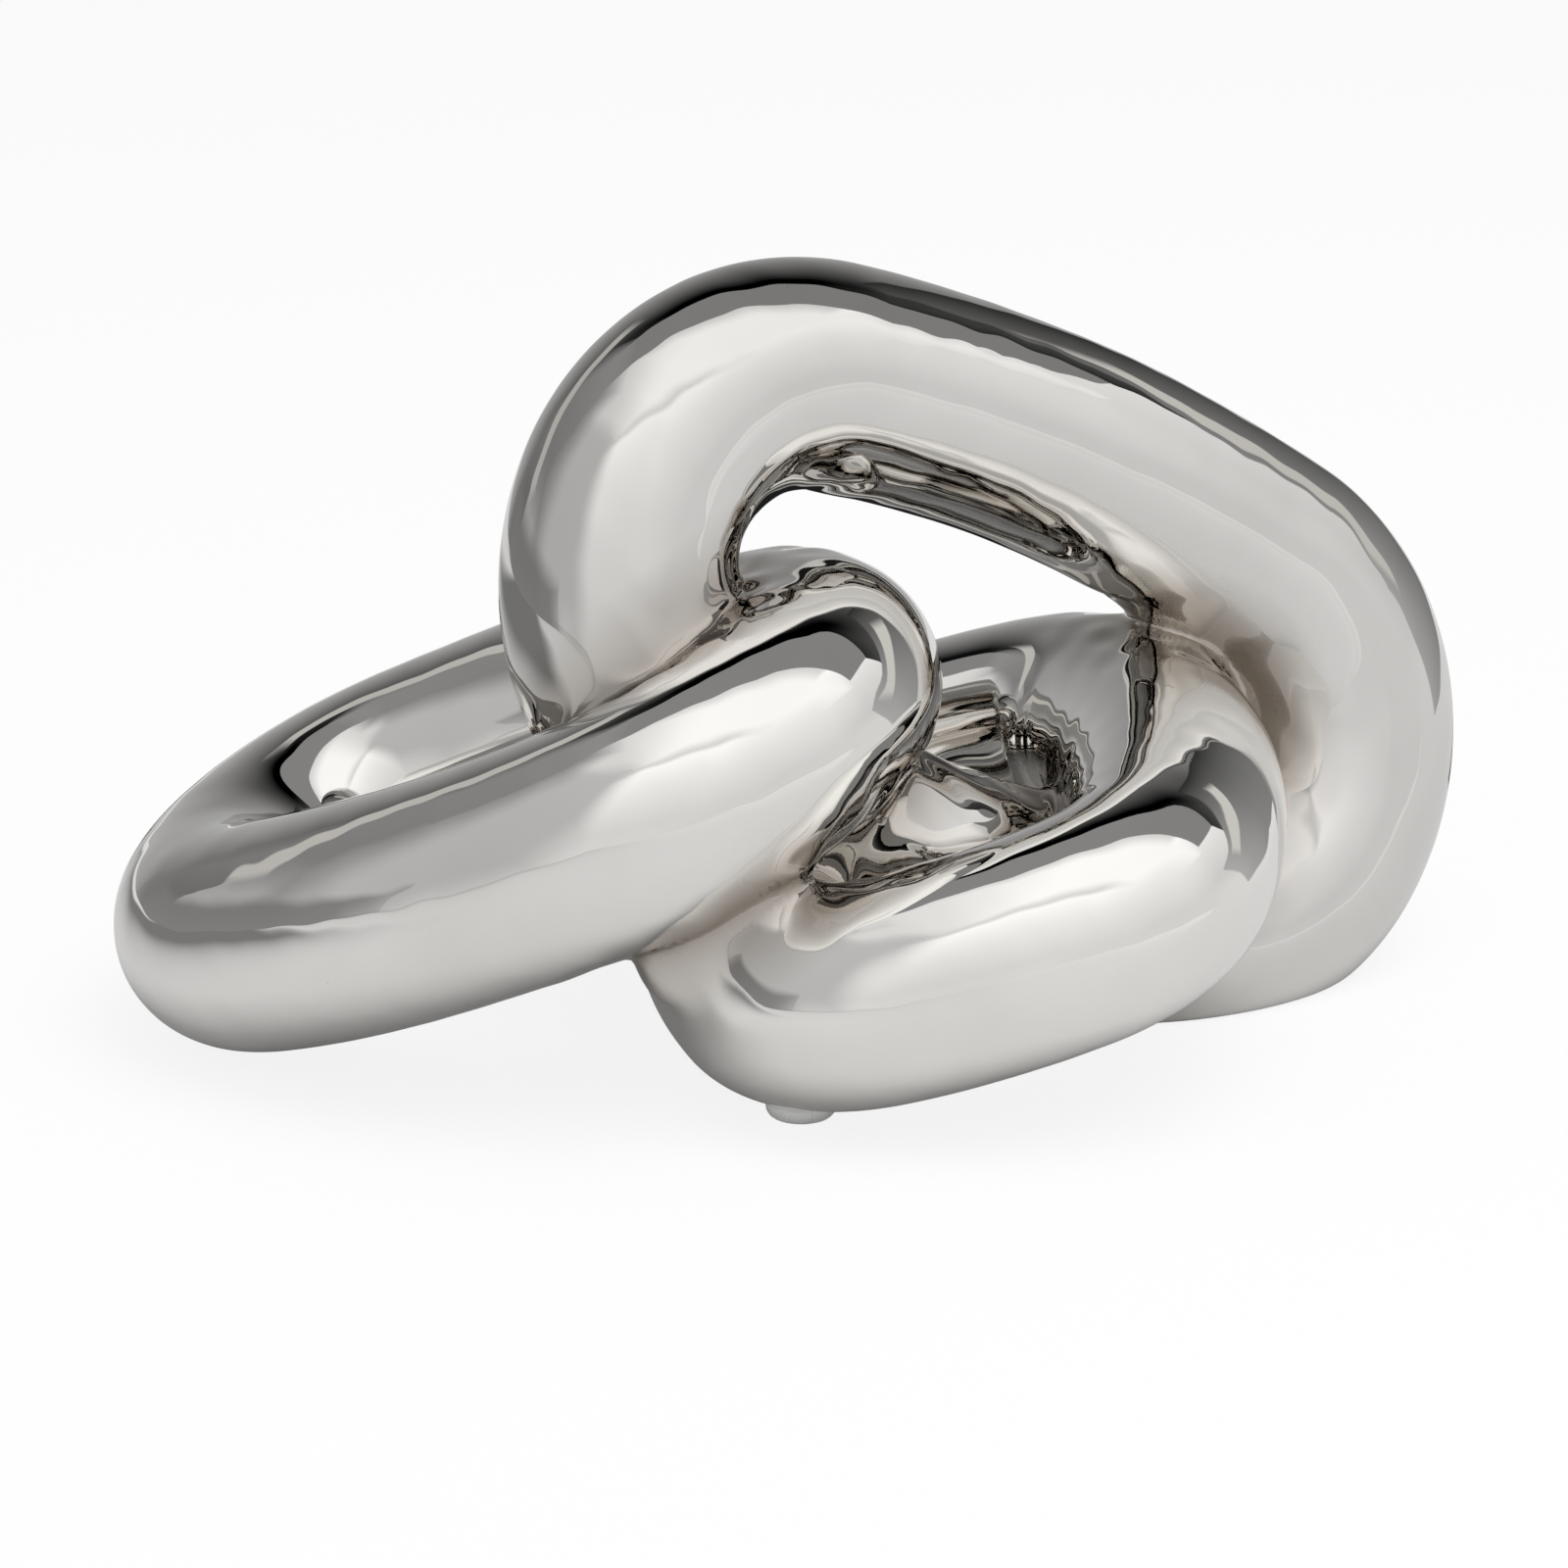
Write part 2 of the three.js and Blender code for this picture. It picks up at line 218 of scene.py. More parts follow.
class StageSettings(PropertyGroup):
    """Camera, floor, lamp and world."""
    target: FloatVectorProperty(name="Target", description="Point at the middle of the picture",
                                default=(-0.0028, 0.032, 0.0458), subtype="TRANSLATION")
    distance: length("Distance", "From the camera to its target", 1.1689)
    elevation: angle("Elevation", "How far the camera looks down", 17.0)
    lens: FloatProperty(name="Lens", description="Focal length in millimetres", default=119.1)
    sensor: FloatProperty(name="Sensor", description="Width of the sensor in millimetres",
                          default=36.0)
    floor_half: length("Floor Half", "Half the side of the floor", 3.0)
    floor_tint: colour("Floor", "Colour of the pale floor", (0.93, 0.93, 0.93))
    floor_shade: share("Floor Shade", "How much of the shadow the camera sees", 0.14)
    mirrored_shade: share("Mirrored Shade", "How much of the shadow the silver sees", 0.95)
    shade_near: length("Shade Near", "It sees that much up to this far from the middle", 0.25)
    shade_far: length("Shade Far", "It sees no shadow past this distance", 0.6)
    mirrored_level: share("Mirrored Level", "Brightness of the studio in the silver", 0.75)
    fill: share("Fill", "Strength of the even light from all round", 0.55)
    lamp_power: FloatProperty(name="Lamp", description="Power of the soft lamp, in watts",
                              default=26.0, min=0.0)
    lamp_size: length("Lamp Size", "Side of the soft lamp", 1.6)
    lamp_place: FloatVectorProperty(name="Lamp Place", description="Where the soft lamp hangs",
                                    default=(0.55, -0.65, 1.9), subtype="TRANSLATION")


SETTINGS = {
    "chain_left": LeftLinkSizes,
    "chain_standing": StandingLinkSizes,
    "chain_front": FrontLinkSizes,
    "chain_glaze": GlazeSettings,
    "chain_bumper": BumperSizes,
    "chain_stage": StageSettings,
}


# Link shapes

class Link:
    """A link as a round tube along an oval: a bowed arc along each side and across each end, and
    a corner between them. At a round end the two corners meet."""

    def __init__(self, sizes):
        self.tube = sizes.tube_radius
        self.reach = sizes.end_spacing / 2
        self.spread = sizes.corner_spacing / 2
        self.corner = sizes.end_radius
        self.side_drop = centre_drop(self.reach, sizes.side_bow)
        self.side = self.corner + sizes.side_bow + self.side_drop
        self.tip_drop = centre_drop(self.spread, sizes.end_bow)
        self.tip = self.corner + sizes.end_bow + self.tip_drop
        flat = math.atan2(self.spread, self.tip_drop)
        steep = math.atan2(self.side_drop, self.reach)
        # Each arc is its centre's x and y, its radius, the angle it starts at and its sweep.
        half_oval = [
            (self.reach - self.tip_drop, 0.0, self.tip, -flat, 2 * flat),
            (self.reach, self.spread, self.corner, flat, steep - flat),
            (0.0, self.spread - self.side_drop, self.side, steep, math.pi - 2 * steep),
            (-self.reach, self.spread, self.corner, math.pi - steep, steep - flat),
        ]
        other_half = [(-x, -y, radius, start + math.pi, sweep)
                      for x, y, radius, start, sweep in half_oval]
        self.arcs = [arc for arc in half_oval + other_half if arc[-1] > 0]
        self.turn = np.array(Euler((sizes.roll, -sizes.pitch, sizes.yaw), "XYZ").to_matrix())
        low = self.lowest_of_middle_line() - self.tube
        self.centre = np.array([sizes.centre_x, sizes.centre_y, sizes.lowest - low])

    def lowest_of_middle_line(self):
        """Height of the middle line's lowest point over the link's centre."""
        samples = 720
        heights = []
        for x, y, radius, start, sweep in self.arcs:
            turns = start + sweep * np.arange(samples) / samples
            oval = np.stack([x + radius * np.cos(turns), y + radius * np.sin(turns)])
            heights.append((self.turn[2, :2] @ oval).min())
        return min(heights)

    def to_world(self, points):
        return points @ self.turn.T + self.centre

    def to_local(self, points):
        return (points - self.centre) @ self.turn

    def middle(self, local):
        """The middle line's nearest points, and how far outside the oval the points lie."""
        x, y = np.abs(local[:, 0]), np.abs(local[:, 1])
        past, over = x - self.reach, y - self.spread
        at_side = past * self.side_drop <= self.reach * over
        at_tip = y * self.tip_drop < (past + self.tip_drop) * self.spread
        which = [at_side, at_tip]
        hub_x = np.select(which, [0.0, self.reach - self.tip_drop], self.reach)
        hub_y = np.select(which, [self.spread - self.side_drop, 0.0], self.spread)
        radius = np.select(which, [self.side, self.tip], self.corner)
        far = np.hypot(x - hub_x, y - hub_y)
        near_x = hub_x + (x - hub_x) * radius / far
        near_y = hub_y + (y - hub_y) * radius / far
        nearest = np.stack([np.copysign(near_x, local[:, 0]), np.copysign(near_y, local[:, 1]),
                            np.zeros(len(local))], axis=1)
        return nearest, far - radius

    def distance(self, points):
        """Distance from points to the plain tube, negative inside it."""
        local = self.to_local(points)
        across = self.middle(local)[1]
        return np.hypot(across, local[:, 2]) - self.tube

    def over_low_corner(self, turn, tilt, rise):
        """A local point over the skin, at the low corner of the end that points forward."""
        out = self.tube + rise
        radius = self.corner + out * math.cos(tilt)
        return np.array([-self.reach - radius * math.cos(turn),
                         self.spread + radius * math.sin(turn), out * math.sin(tilt)])


class FrontLink(Link):
    """The front link, with a bead of clay along its crease with the left link."""

    def __init__(self, sizes, fillet_reach):
        super().__init__(sizes)
        self.fillet_reach = fillet_reach
        self.bead = sizes.bead_radius
        self.low = self.over_low_corner(sizes.bead_low_angle, sizes.bead_low_tilt,
                                        sizes.bead_low_rise)
        self.high = self.over_low_corner(sizes.bead_high_angle, sizes.bead_high_tilt,
                                         sizes.bead_high_rise)

    def distance(self, points):
        """Distance to the tube and its bead, which flow together."""
        tube = super().distance(points)
        offset = self.to_local(points) - self.low
        along = self.high - self.low
        portion = np.clip(offset @ along / (along @ along), 0, 1)
        bead = np.linalg.norm(offset - portion[:, None] * along, axis=1) - self.bead
        return np.minimum(tube, bead) - swelling(-np.abs(tube - bead), self.fillet_reach)


def centre_drop(half, bow):
    """How far a bowed arc's centre lies behind the line through the corner centres it joins."""
    return (half ** 2 - bow ** 2) / (2 * bow) if bow else 0.0


def swelling(lead, reach):
    """How far a skin swells into the fillet beside a neighbour, up to their seam at lead zero."""
    return np.clip(1 + lead / reach, 0, 1) ** 3 * reach / 6


def links():
    """The three links, by the names of their nodes."""
    scene = bpy.context.scene
    return {
        "left_link": Link(scene.chain_left),
        "standing_link": Link(scene.chain_standing),
        "front_link": FrontLink(scene.chain_front, scene.chain_glaze.fillet_reach),
    }


def skin(link, others, origins, rays, glaze):
    """Points where the rays from the middle line leave the filleted skin. Past a seam the skin
    dives under its neighbour's, as far as the overrun."""
    dive = 0.15  # slope of the skin past a seam; its neighbour's has one half

    def held(lengths):
        points = origins + rays * lengths[:, None]
        own = link.distance(points)
        leads = [own - other.distance(points) for other in others]
        room = sum(swelling(lead, glaze.fillet_reach) + np.maximum(lead, 0) * dive
                   for lead in leads)
        return (own <= room) & (np.max(leads, axis=0) <= glaze.overrun)

    stride = 0.0015  # metres, halved again and again once every ray is at the skin
    inside = np.full(len(rays), link.tube / 2)
    running = np.ones(len(rays), bool)
    while running.any():
        running &= held(inside + stride)
        inside += running * stride
    halvings = 12
    for _ in range(halvings):
        stride /= 2
        inside += held(inside + stride) * stride
    return origins + rays * inside[:, None]


def fused_distance(points, every, reach):
    """Distance to all the links flowed together, alike on both sides of every seam."""
    distances = np.array([link.distance(points) for link in every])
    nearest = distances.min(axis=0)
    own_term = reach / 6  # what the sum gives the nearest link itself
    return nearest - swelling(nearest - distances, reach).sum(axis=0) + own_term


def fused_normals(points, every, reach):
    """Ways out of the fused skin."""
    step = 1e-4  # metres
    normals = np.stack([fused_distance(points + shift, every, reach)
                        - fused_distance(points - shift, every, reach)
                        for shift in np.eye(3) * step], axis=1)
    return normals / np.linalg.norm(normals, axis=1, keepdims=True)


def waves(points, length_of_wave, seed):
    """Unevenness of about one unit from waves that run all ways, and its slope."""
    count = 14
    slowest, fastest = 0.7, 1.4  # waves to one length of wave
    chance = np.random.default_rng(seed)
    ways = chance.normal(size=(count, 3))
    ways /= np.linalg.norm(ways, axis=1, keepdims=True)
    ways *= chance.uniform(slowest, fastest, (count, 1))
    ways *= 2 * math.pi / length_of_wave
    phases = points @ ways.T + chance.uniform(0, 2 * math.pi, count)
    share_each = math.sqrt(2 / count)
    return np.sin(phases).sum(axis=1) * share_each, np.cos(phases) @ ways * share_each


def hand_finish(points, every, glaze):
    """Height and slope of the cast wall's broad swells and of the tool marks by the creases."""
    swell_seed, mark_seed = 3, 8
    least = 0.1  # share of the tool marks that is left far from any crease
    swells, swell_slopes = waves(points, glaze.swell_size, swell_seed)
    marks, mark_slopes = waves(points, glaze.ripple_size, mark_seed)
    next_link = np.sort([link.distance(points) for link in every], axis=0)[1]
    tooled = np.clip(1 - next_link / glaze.tooled, least, 1) * glaze.ripple
    off_table = np.clip(points[:, 2] / glaze.table_fade, 0, 1)
    heights = (swells * glaze.swell + marks * tooled) * off_table
    slopes = swell_slopes * glaze.swell + mark_slopes * tooled[:, None]
    return heights, slopes * off_table[:, None]


def spun_tube(link, glaze):
    """The plain tube in the link's own frame: a circle spun round the arcs, then cut finer."""
    tube = bmesh.new()
    x, y, radius, start, _ = link.arcs[0]
    out = Vector((math.cos(start), math.sin(start), 0))
    up = Vector((0, 0, 1))
    middle = Vector((x, y, 0)) + radius * out
    stand = Matrix((out, up, out.cross(up))).transposed().to_4x4()
    bmesh.ops.create_circle(tube, cap_ends=False, segments=glaze.around, radius=link.tube,
                            matrix=Matrix.Translation(middle) @ stand)
    section = tube.verts[:] + tube.edges[:]
    for x, y, radius, start, sweep in link.arcs:
        spun = bmesh.ops.spin(tube, geom=section, cent=(x, y, 0), axis=up, dvec=(0, 0, 0),
                              angle=sweep, steps=max(1, round(radius * sweep / glaze.step)))
        section = spun["geom_last"]
    weld = glaze.step / 20
    bmesh.ops.remove_doubles(tube, verts=tube.verts, dist=weld)
    bmesh.ops.subdivide_edges(tube, edges=tube.edges, cuts=glaze.cuts, use_grid_fill=True)
    return tube


def link_body(name):
    """A link's tube pushed out to its filleted, hand-finished skin, in the sculpture's frame. Its
    vertices keep the fused skin's normals and how near the next link is."""
    glaze = bpy.context.scene.chain_glaze
    every = links()
    link = every[name]
    others = [other for other in every.values() if other is not link]
    tube = spun_tube(link, glaze)
    local = np.array([vert.co for vert in tube.verts])
    origins = link.to_world(link.middle(local)[0])
    rays = link.to_world(local) - origins
    rays /= np.linalg.norm(rays, axis=1, keepdims=True)
    points = skin(link, others, origins, rays, glaze)
    normals = fused_normals(points, every.values(), glaze.fillet_reach)
    heights, slopes = hand_finish(points, every.values(), glaze)
    points += normals * heights[:, None]
    normals -= slopes
    next_link = np.min([other.distance(points) for other in others], axis=0)
    nearness = np.clip(1 - next_link / glaze.tarnish_and_shade_reach, 0, 1)
    way_out = tube.verts.layers.float_vector.new(WAY_OUT)
    crease = tube.verts.layers.float.new(CREASE)
    for vert, point, normal, near in zip(tube.verts, points, normals, nearness):
        vert.co = point
        vert[way_out] = normal
        vert[crease] = near
    for face in tube.faces:
        face.smooth = True
    face_outwards(tube)
    return tube


def face_outwards(body):
    """Turns every face of a closed body to the outside."""
    bmesh.ops.recalc_face_normals(body, faces=body.faces)
    if body.calc_volume(signed=True) < 0:
        bmesh.ops.reverse_faces(body, faces=body.faces)


def cut_foot(body, edge):
    """Presses what lies under the table up to a flat foot with a rounded rim."""
    way_out = body.verts.layers.float_vector[WAY_OUT]
    for vert in body.verts:
        far = math.hypot(vert.co.z, edge)
        flattened = (1 + vert.co.z / far) / 2
        vert[way_out] *= Vector((flattened, flattened, 1))
        vert.co.z = (vert.co.z + far) / 2


def part_closing_piece(body, link, sizes):
    """Cuts the closing piece out of the standing link's lower run and returns it."""
    along = Vector(link.turn[:, 0])
    across = Vector(link.turn[:, 1])
    centre = Vector(link.centre)
    cuts = [sizes.closing_offset + side * sizes.closing_length / 2 for side in (-1, 1)]
    snap = 1e-7  # metres
    for cut in cuts:
        run = [face for face in body.faces if (face.calc_center_median() - centre).dot(across) < 0]
        edges = {edge for face in run for edge in face.edges}
        verts = {vert for face in run for vert in face.verts}
        bmesh.ops.bisect_plane(body, geom=run + list(edges) + list(verts), dist=snap,
                               plane_co=centre + along * cut, plane_no=along)

    def between(face):
        offset = face.calc_center_median() - centre
        return offset.dot(across) < 0 and cuts[0] < offset.dot(along) < cuts[1]

    piece = body.copy()
    drop_faces(piece, [face for face in piece.faces if not between(face)])
    drop_faces(body, [face for face in body.faces if between(face)])
    for solid in (piece, body):
        cap_ends(solid)
    return piece


def drop_faces(body, faces):
    bmesh.ops.delete(body, geom=faces, context="FACES")


def cap_ends(body):
    """Closes the two cut ends with flat faces that keep a sharp rim."""
    rim = [edge for edge in body.edges if edge.is_boundary]
    bmesh.ops.edgeloop_fill(body, edges=rim)
    for edge in rim:
        edge.smooth = False
    face_outwards(body)


def bumper_body(sizes, link, seat):
    """A disc with a round lower rim. Its top face is lifted until it meets the link."""
    around, rings, rounding = 64, 6, 6
    upright = 0.9  # least upward part of the lid's normal
    hair = 1e-6  # metres
    bumper = bmesh.new()
    bmesh.ops.create_circle(bumper, cap_ends=True, segments=around, radius=sizes.radius,
                            matrix=Matrix.Translation((seat[0], seat[1], 0)))
    raised = bmesh.ops.extrude_face_region(bumper, geom=bumper.faces[:])["geom"]
    top = [vert for vert in raised if isinstance(vert, bmesh.types.BMVert)]
    bmesh.ops.translate(bumper, verts=top, vec=(0, 0, seat[2] - link.tube))
    face_outwards(bumper)
    lid = [face for face in bumper.faces if face.calc_center_median().z > sizes.edge / 2
           and face.normal.z > upright]
    for _ in range(rings):
        bmesh.ops.inset_region(bumper, faces=lid, thickness=sizes.radius / (rings + 1))
    rim = [edge for edge in bumper.edges if all(abs(vert.co.z) < hair for vert in edge.verts)]
    bmesh.ops.bevel(bumper, geom=rim, offset=sizes.edge, affect="EDGES", segments=rounding,
                    profile=0.5, material=-1)
    lifted = [vert for vert in bumper.verts if vert.co.z > sizes.edge + hair]
    press_to_link(lifted, link)
    for face in bumper.faces:
        face.smooth = True
    return bumper


def press_to_link(verts, link):
    """Lifts vertices straight up to the link's skin."""
    low = np.array([vert.co for vert in verts])
    lift = np.zeros(len(low))
    steps = 40
    for _ in range(steps):
        points = low.copy()
        points[:, 2] += lift
        lift += link.distance(points)
    for vert, height in zip(verts, lift):
        vert.co.z += height


def shade_as_fused(mesh):
    """Gives the smooth faces the normals of the fused skin, so that no seam shows."""
    skin_normals = np.array([point.vector for point in mesh.attributes[WAY_OUT].data])
    skin_normals /= np.linalg.norm(skin_normals, axis=1, keepdims=True)
    normals = []
    for face in mesh.polygons:
        corners = [skin_normals[vertex] if face.use_smooth else face.normal
                   for vertex in face.vertices]
        normals.extend(corners)
    mesh.normals_split_custom_set(normals)
    mesh.attributes.remove(mesh.attributes[WAY_OUT])


def finished(name, body, material, slot, *nodes):
    """Makes a closed bmesh a piece that stands for CAD nodes."""
    gaps = [edge for edge in body.edges if not edge.is_manifold]
    if gaps:
        raise RuntimeError(f"{name} has {len(gaps)} open edges")
    mesh = bpy.data.meshes.new(name)
    body.to_mesh(mesh)
    body.free()
    if WAY_OUT in mesh.attributes:
        shade_as_fused(mesh)
    mesh.materials.append(material)
    piece = bpy.data.objects.new(name, mesh)
    bpy.context.scene.collection.objects.link(piece)
    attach(piece, BODY)
    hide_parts(*nodes)


# Materials

class Value:
    """A shader socket that takes part in Python sums. Each operator adds a Math node."""

    def __init__(self, tree, socket):
        self.tree = tree
        self.socket = socket

    def maths(self, operation, *terms):
        return self.tree.node("ShaderNodeMath", {"operation": operation}, dict(enumerate(terms)))

    def __add__(self, other):
        return self.maths("ADD", self, other)

    def __sub__(self, other):
        return self.maths("SUBTRACT", self, other)

    def __rsub__(self, other):
        return self.maths("SUBTRACT", other, self)

    def __mul__(self, other):
        return self.maths("MULTIPLY", self, other)

    def __pow__(self, other):
        return self.maths("POWER", self, other)

    def __lt__(self, other):
        return self.maths("LESS_THAN", self, other)

    def __gt__(self, other):
        return self.maths("GREATER_THAN", self, other)

    def __abs__(self):
        return self.maths("ABSOLUTE", self)

    def or_more(self, other):
        return self.maths("MAXIMUM", self, other)

    def eased(self, low, high):
        """Rises smoothly from 0 at the low value to 1 at the high one."""
        return self.tree.node("ShaderNodeMapRange", {"interpolation_type": "SMOOTHSTEP"},
                              {"Value": self, "From Min": low, "From Max": high})

    __radd__ = __add__
    __rmul__ = __mul__


class ShaderTree:
    """A material's or world's nodes, emptied."""

    def __init__(self, owner):
        owner.use_nodes = True
        self.nodes = owner.node_tree.nodes
        self.links = owner.node_tree.links
        self.nodes.clear()

    def node(self, kind, settings=None, sockets=None, output=0):
        """Adds a node, sets it up, fills or links its sockets and returns one output."""
        made = self.nodes.new(kind)
        for name, value in (settings or {}).items():
            setattr(made, name, value)
        for name, value in (sockets or {}).items():
            if isinstance(value, Value):
                self.links.new(value.socket, made.inputs[name])
            else:
                made.inputs[name].default_value = value
        return Value(self, made.outputs[output]) if len(made.outputs) else None

    def noise(self, where, scale, detail):
        return self.node("ShaderNodeTexNoise", {"noise_dimensions": "3D"},
                         {"Vector": where, "Scale": scale, "Detail": detail}, "Fac")

    def mix(self, share_of_second, first, second):
        """Mixes two colours. The node has sockets of the same names for other kinds of data,
        so those for colours go by number."""
        return self.node("ShaderNodeMix", {"data_type": "RGBA"},
                         {"Factor": share_of_second, 6: first, 7: second}, 2)

    def mix_shaders(self, share_of_second, first, second):
        return self.node("ShaderNodeMixShader", None, {0: share_of_second, 1: first, 2: second})

    def glow(self, tint, strength):
        return self.node("ShaderNodeEmission", None, {"Color": opaque(tint), "Strength": strength})

    def show(self, surface):
        self.node("ShaderNodeOutputMaterial", None, {"Surface": surface})


def opaque(tint):
    return (*tint, 1.0)


def silver_glaze(name, painted_light_level):
    """Mirror silver over glaze: hazy patches, tarnish and painted shade in the creases, a faint
    orange peel, pinholes.
    """
    glaze = bpy.context.scene.chain_glaze
    # Each link's painted light level scales the silver: lit and shaded copies of one material.
    bright, dull = [opaque(painted_light_level * Vector(tint)) for tint in (glaze.bright, glaze.dull)]
    material = bpy.data.materials.new(name)
    tree = ShaderTree(material)
    where = tree.node("ShaderNodeTexCoord", output="Object")
    patches = tree.noise(where, glaze.haze_density, detail=3.0)
    haze = (patches - glaze.haze_start).or_more(0.0) * glaze.haze_gain
    cells = tree.node("ShaderNodeTexVoronoi", {"feature": "F1"},
                      {"Vector": where, "Scale": glaze.pinhole_density})
    chance = tree.noise(where, glaze.chance_density, detail=0.0)
    pinholes = (cells < glaze.pinhole_size) * (chance > glaze.chance_start)
    # Near the next link the silver turns to the tarnish colour: real tarnish in part, painted
    # shade in the creases and holes in part.
    crease = tree.node("ShaderNodeAttribute", {"attribute_name": CREASE}, output="Fac")
    silver = tree.mix(crease, tree.mix(haze, bright, dull), opaque(glaze.tarnish_and_shade))
    peel = tree.noise(where, glaze.peel_density, detail=1.0)
    grain = tree.noise(where, glaze.grain_density, detail=1.0)
    bump = tree.node("ShaderNodeBump", None,
                     {"Strength": 1.0, "Distance": glaze.bump_height,
                      "Height": peel * glaze.peel + grain * glaze.grain})
    tree.show(tree.node("ShaderNodeBsdfPrincipled", None, {
        "Base Color": tree.mix(pinholes, silver, opaque(glaze.pinhole)),
        "Metallic": 1.0,
        "Roughness": haze * glaze.haze + glaze.polish + pinholes * glaze.pinhole_roughness,
        "Normal": bump,
    }))
    return material


def milky_plastic():
    """Soft plastic that lets some light through, with a cloudy skin."""
    sizes = bpy.context.scene.chain_bumper
    material = bpy.data.materials.new("clear_bumper")
    tree = ShaderTree(material)
    where = tree.node("ShaderNodeTexCoord", output="Object")
    cloud = tree.noise(where, sizes.cloud_density, detail=2.0)
    tree.show(tree.node("ShaderNodeBsdfPrincipled", None, {
        "Base Color": opaque(sizes.tint),
        "Roughness": cloud * sizes.cloud + sizes.polish,
        "IOR": sizes.bending,
        "Transmission Weight": sizes.clearness,
    }))
    return material


def pale_floor():
    """A pale floor. The camera sees it nearly white, and the silver sees it dimmer, with more of
    its shadow."""
    stage = bpy.context.scene.chain_stage
    material = bpy.data.materials.new("pale_floor")
    tree = ShaderTree(material)
    paper = tree.node("ShaderNodeBsdfDiffuse", None, {"Color": opaque(stage.floor_tint)})
    seen = tree.node("ShaderNodeLightPath", output="Is Camera Ray")
    mirrored = tree.node("ShaderNodeLightPath", output="Is Glossy Ray")
    through = tree.node("ShaderNodeLightPath", output="Is Transmission Ray")
    where = tree.node("ShaderNodeTexCoord", output="Object")
    away = tree.node("ShaderNodeVectorMath", {"operation": "LENGTH"}, {0: where}, "Value")
    near = 1 - (away * stage.floor_half).eased(stage.shade_near, stage.shade_far)
    bleach = (seen.or_more(through) * (1 - stage.floor_shade)).or_more(
        mirrored * (1 - near * stage.mirrored_shade))
    bare = tree.mix_shaders(bleach, paper, tree.glow(WHITE, 1.0))
    dimming = mirrored * (1 - stage.mirrored_level)
    tree.show(tree.mix_shaders(dimming, bare, tree.glow(WHITE, 0.0)))
    return material


def card_glow(card):
    """A card's light: dimmer or brighter towards its top, and soft at its edges."""
    material = bpy.data.materials.new(card.name)
    material.cycles.emission_sampling = "NONE"
    tree = ShaderTree(material)
    where = tree.node("ShaderNodeTexCoord", output="Object")
    across = tree.node("ShaderNodeSeparateXYZ", None, {"Vector": where}, "X")
    up = tree.node("ShaderNodeSeparateXYZ", None, {"Vector": where}, "Y")
    brightest = max(card.foot, card.top)
    rise = (card.top - card.foot) / (2 * brightest)
    level = up * rise + (card.foot + card.top) / (2 * brightest)
    strength = brightest * bpy.context.scene.chain_stage.mirrored_level
    lit = tree.mix_shaders(level, tree.glow(card.tint, 0.0), tree.glow(card.tint, strength))
    cover = (1 - abs(across).or_more(abs(up))).eased(0.0, card.soft)
    tree.show(tree.mix_shaders(cover, tree.node("ShaderNodeBsdfTransparent"), lit))
    return material


def wall_glow(wall):
    """The wide wall behind: pale at its foot and black at its top edge, with dim wings."""
    material = bpy.data.materials.new("back_wall")
    material.cycles.emission_sampling = "NONE"
    tree = ShaderTree(material)
    where = tree.node("ShaderNodeTexCoord", output="Object")
    across = abs(tree.node("ShaderNodeSeparateXYZ", None, {"Vector": where}, "X"))
    up = tree.node("ShaderNodeSeparateXYZ", None, {"Vector": where}, "Y")
    height = up * 0.5 + 0.5  # 0 at the foot and 1 at the top
    middle = (1 - height * wall.fade).or_more(0.0) ** wall.curve * wall.foot
    wing = (wall.wing_top - height) * wall.wing
    side = across.eased(wall.wing_start, wall.wing_end)
    level = middle * (1 - side) + wing * side
    strength = bpy.context.scene.chain_stage.mirrored_level
    tree.show(tree.mix_shaders(level, tree.glow(WHITE, 0.0), tree.glow(WHITE, strength)))
    return material


# Stage

WHITE = (1.0, 1.0, 1.0)
CREAM = (1.0, 0.98, 0.94)
RIGHT, BACK, UP = (1, 0, 0), (0, 1, 0), (0, 0, 1)
HARD = 0.002  # fade of a card with hard edges

# A card's place and size in metres, its brightness at its foot and its top, and how much of its
# half side fades out towards its edges.
Card = namedtuple("Card", "name centre across up half_width half_height foot top soft tint",
                  defaults=(1.0, 1.0, HARD, WHITE))
CARDS = (
    Card("left_flat", (-0.95, 0.40, 0.95), BACK, UP, 0.75, 1.1, 0.22, 0.46, 0.7),
    Card("rear_strip", (0, 0.62, 1.89), RIGHT, BACK, 2.2, 0.40, 0.33, 0.33, HARD),
    Card("softbox", (1.0, -0.5, 1.9), RIGHT, BACK, 2.1, 0.75, 1.45, 1.45, 0.5),
    Card("front_sky", (0.6, -2.6, 2.2), RIGHT, UP, 3.5, 2.0, 0.93, 1.55, 0.3),
    Card("right_sky", (2.6, -0.3, 2.2), BACK, UP, 2.4, 2.0, 0.8, 1.6, 0.3),
    Card("left_grey", (-1.3, -0.5, 1.0), (0.62, -0.78, 0), UP, 1.1, 1.3, 0.66, 0.74, 0.5),
    Card("right_panel", (0.95, -0.75, 0.9), (0.62, 0.78, 0), UP, 1.1, 1.2, 0.8, 1.6, 0.7),
    # Painted light on the floor, seen only in the silver: the floor in front grows brighter
    # towards the right.
    Card("painted_floor_light", (0, -1.7, 0.001), BACK, RIGHT, 1.58, 2.9, 0.55, 1.4, 0.08),
    # Painted shadow: a dark sheet on the floor behind, seen only in the silver.
    Card("painted_floor_shadow", (0, 0.26, 0.001), RIGHT, BACK, 0.22, 0.10, 0.02, 0.02, 0.15),
    # Painted shade: a dim sheet on the floor at the left, seen only in the silver.
    Card("painted_floor_shade_left", (-0.8, 0.1, 0.001), RIGHT, BACK, 0.66, 0.48, 0.27, 0.27, 0.4),
    Card("left_low", (-1.1, 0.1, 0.05), BACK, UP, 1.1, 0.3, 0.34, 0.3, 0.5),
)

